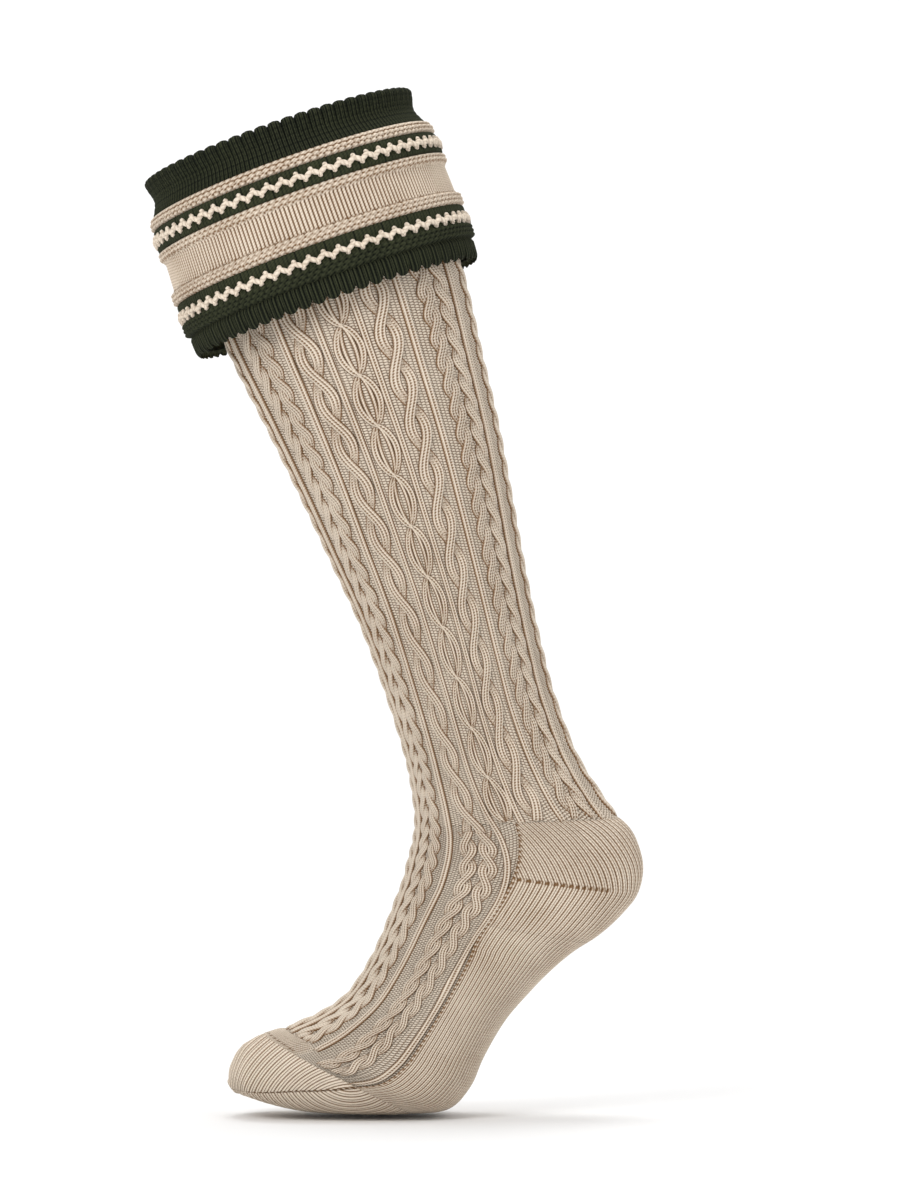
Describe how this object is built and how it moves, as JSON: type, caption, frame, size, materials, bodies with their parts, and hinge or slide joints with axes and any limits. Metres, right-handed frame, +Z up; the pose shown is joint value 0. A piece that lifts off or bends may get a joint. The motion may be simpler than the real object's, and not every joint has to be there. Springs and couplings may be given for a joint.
{
  "type": "wool sock",
  "caption": "Cable-knit wool knee sock, worn shape, with a turned-over cuff in dark green and beige bands, scalloped edges, and a plain-knit heel, sole and toe",
  "frame": {"origin": "centre of the leg opening, in the plane of the folded rim", "axes": "+Z up, +X from the toes to the heel, +Y across the sock; the leg leans 19.6 degrees towards the toes"},
  "size_m": [0.2587, 0.148, 0.5335],
  "materials": {
    "beige_wool": "matte knitted wool, beige",
    "green_wool": "matte knitted wool, dark bottle green"
  },
  "bodies": {
    "root": {"leg": "beige_wool", "instep": "beige_wool", "heel": "beige_wool", "sole": "beige_wool", "toe_cap": "beige_wool", "cuff_top_band": "green_wool", "cuff_upper_roll": "beige_wool", "cuff_upper_stripe": "green_wool", "cuff_middle_band": "beige_wool", "cuff_lower_stripe": "green_wool", "cuff_edge_band": "green_wool"}
  },
  "joints": []
}
